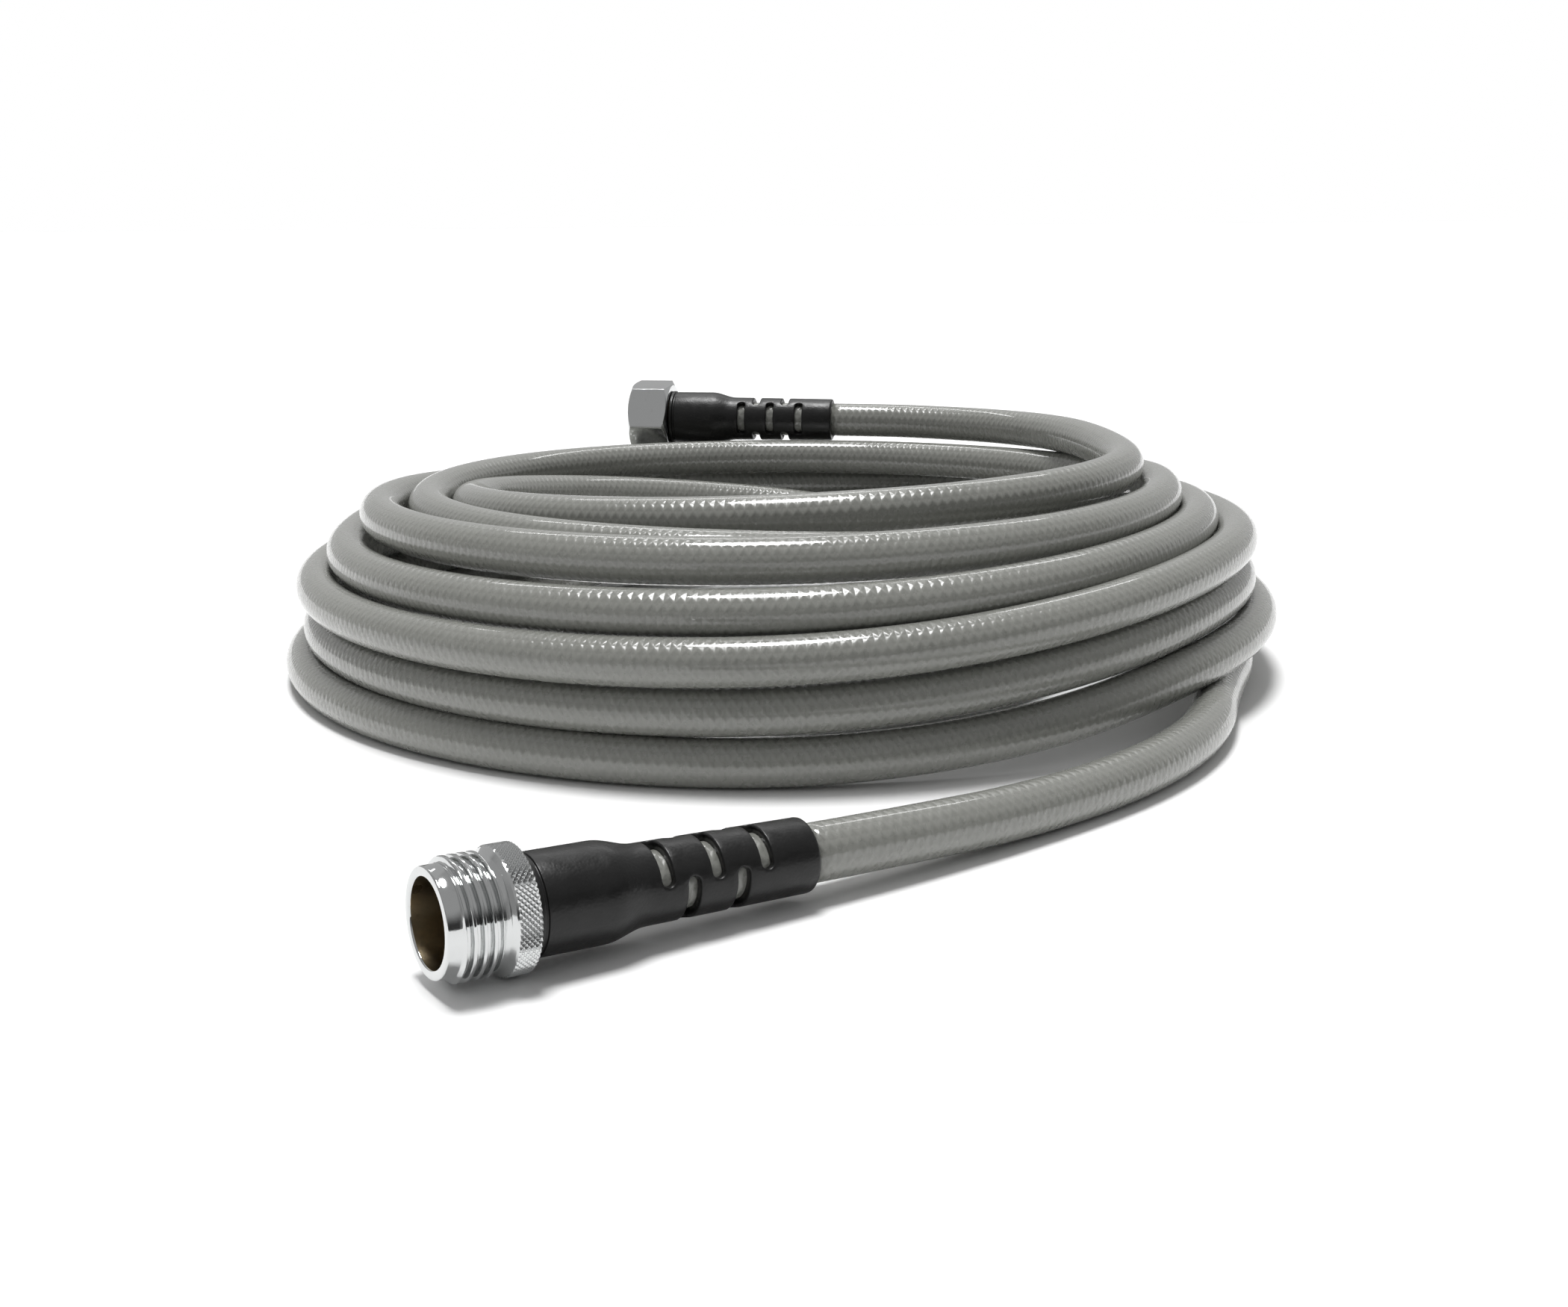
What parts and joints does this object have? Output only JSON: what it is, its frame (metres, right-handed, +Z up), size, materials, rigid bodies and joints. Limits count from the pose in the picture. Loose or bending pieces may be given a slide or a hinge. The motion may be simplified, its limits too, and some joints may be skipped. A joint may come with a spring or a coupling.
{
  "type": "drinking water hose",
  "caption": "Loosely coiled grey reinforced water hose with a threaded male coupling, a free-turning female nut and slotted strain reliefs.",
  "frame": {"origin": "on the floor under the middle of the whole hose's bounding box", "axes": "+Z up; the male end lies in front of the coil, towards -Y, and the female end rests on the coil's back, towards +Y"},
  "size_m": [0.362, 0.4926, 0.0855],
  "materials": {
    "grey_pvc": "glossy flexible vinyl over a braid",
    "liner_pvc": "smooth",
    "yarn": "polyester braid",
    "chrome_plate": "polished plating on brass, knurled on the collar",
    "brass": "turned",
    "ferrule_metal": "crimped",
    "black_sleeve": "satin with a fine grain",
    "washer_rubber": "plain"
  },
  "bodies": {
    "hose": {"male_coupling": "chrome_plate", "male_ferrule": "ferrule_metal", "male_strain_relief": "black_sleeve", "female_stem": "brass", "female_ferrule": "ferrule_metal", "female_strain_relief": "black_sleeve", "hose_tail_front": "grey_pvc", "hose_tail_back": "grey_pvc", "hose_coil": "grey_pvc", "hose_liner_male": "liner_pvc", "hose_braid_male": "yarn", "hose_cover_male": "grey_pvc", "hose_liner_female": "liner_pvc", "hose_braid_female": "yarn", "hose_cover_female": "grey_pvc"},
    "swivel_nut": {"swivel_nut": "chrome_plate", "swivel_washer": "washer_rubber"}
  },
  "joints": [
    {"name": "nut_spin", "type": "hinge", "parent": "hose", "child": "swivel_nut", "pos_m": [-0.05548, 0.22218, 0.0692], "axis": [-0.9848, 0.1736, 0], "continuous": true}
  ]
}
